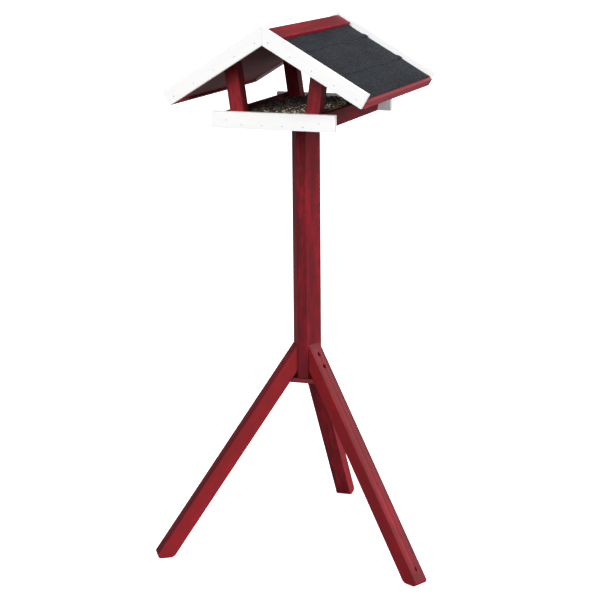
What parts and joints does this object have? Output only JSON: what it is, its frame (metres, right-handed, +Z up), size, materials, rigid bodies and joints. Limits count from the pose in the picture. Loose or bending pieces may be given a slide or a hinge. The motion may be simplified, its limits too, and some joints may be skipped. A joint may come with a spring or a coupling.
{
  "type": "bird table",
  "caption": "Gabled bird feeding table with a felted roof and an open seed tray, on a six-sided wooden post with three splayed legs.",
  "frame": {"origin": "on the ground under the middle of the post, the centre of the circle through the three ground peg holes", "axes": "+X to the right along the front gable, +Y to the back along the ridge, +Z up along the post"},
  "size_m": [0.6045, 0.5714, 1.1569],
  "materials": {
    "red_glaze": "pine boards with a satin dark red glaze",
    "white_paint": "planed boards painted white",
    "felt": "bitumen roofing felt with slate-grey mineral grit",
    "seed": "loose mixed bird seed",
    "zinc": "zinc-plated steel"
  },
  "bodies": {
    "root": {"barge_board_back_left": "white_paint", "barge_board_back_right": "white_paint", "barge_board_front_left": "white_paint", "barge_board_front_right": "white_paint", "barge_board_nails": "zinc", "eave_strip_left": "red_glaze", "eave_strip_right": "red_glaze", "felt_lower_left": "felt", "felt_lower_right": "felt", "felt_middle_left": "felt", "felt_middle_right": "felt", "felt_upper_left": "felt", "felt_upper_right": "felt", "foot_plate": "red_glaze", "head_plate": "red_glaze", "head_plate_screws": "zinc", "leg_back": "red_glaze", "leg_left": "red_glaze", "leg_right": "red_glaze", "leg_screws": "zinc", "post": "red_glaze", "post_end_screws": "zinc", "ridge_cap_left": "red_glaze", "ridge_cap_right": "red_glaze", "roof_nails": "zinc", "roof_panel_left": "red_glaze", "roof_panel_right": "red_glaze", "seed_fill": "seed", "tray_board_back": "white_paint", "tray_board_front": "white_paint", "tray_floor": "red_glaze", "tray_nails": "zinc", "tray_side_left": "red_glaze", "tray_side_right": "red_glaze", "upright_back_left": "red_glaze", "upright_back_right": "red_glaze", "upright_front_left": "red_glaze", "upright_front_right": "red_glaze"}
  },
  "joints": []
}
